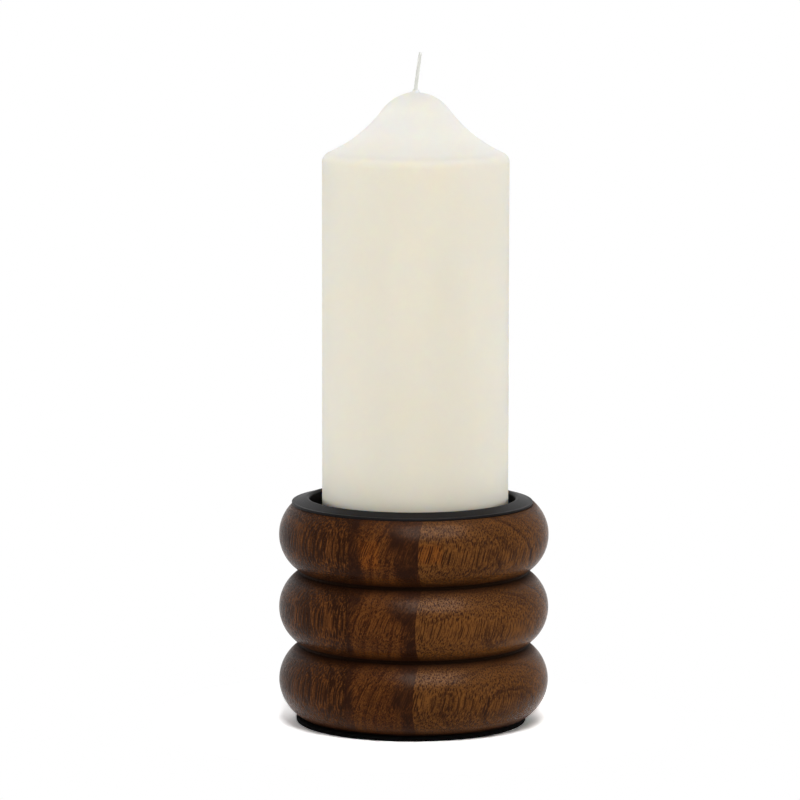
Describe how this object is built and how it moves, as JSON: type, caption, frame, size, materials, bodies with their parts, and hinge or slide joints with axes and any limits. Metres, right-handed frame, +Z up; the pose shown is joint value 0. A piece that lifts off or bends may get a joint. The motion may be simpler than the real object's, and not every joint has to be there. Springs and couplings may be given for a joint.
{
  "type": "pillar candle holder",
  "caption": "Stacked-ring turned wooden holder with a drop-in metal cup and a domed pillar candle standing in it.",
  "frame": {"origin": "on the table under the axis of the turned wood, at the middle of the part's box", "axes": "+Z up along the holder and the candle, -Y towards the viewer of the picture, +X to the right"},
  "size_m": [0.1014, 0.1014, 0.2518],
  "materials": {
    "walnut_light": "satin clear lacquer over medium brown walnut",
    "walnut_dark": "satin clear lacquer over walnut with dark heartwood bands",
    "black_metal": "satin black powder coat",
    "black_felt": "dense black felt",
    "ivory_wax": "smooth ivory candle wax, slightly translucent",
    "wick_cotton": "braided white cotton, waxed"
  },
  "bodies": {
    "base": {"board_left": "walnut_light", "board_middle": "walnut_dark", "board_right": "walnut_light", "foot_pad": "black_felt"},
    "cup": {"cup": "black_metal"},
    "candle": {"candle": "ivory_wax", "wick": "wick_cotton"}
  },
  "joints": [
    {"name": "cup_lift", "type": "slide", "parent": "base", "child": "cup", "axis": [0, 0, 1], "range_m": [0, 0.03]},
    {"name": "candle_lift", "type": "slide", "parent": "cup", "child": "candle", "axis": [0, 0, 1], "range_m": [0, 0.035]}
  ]
}
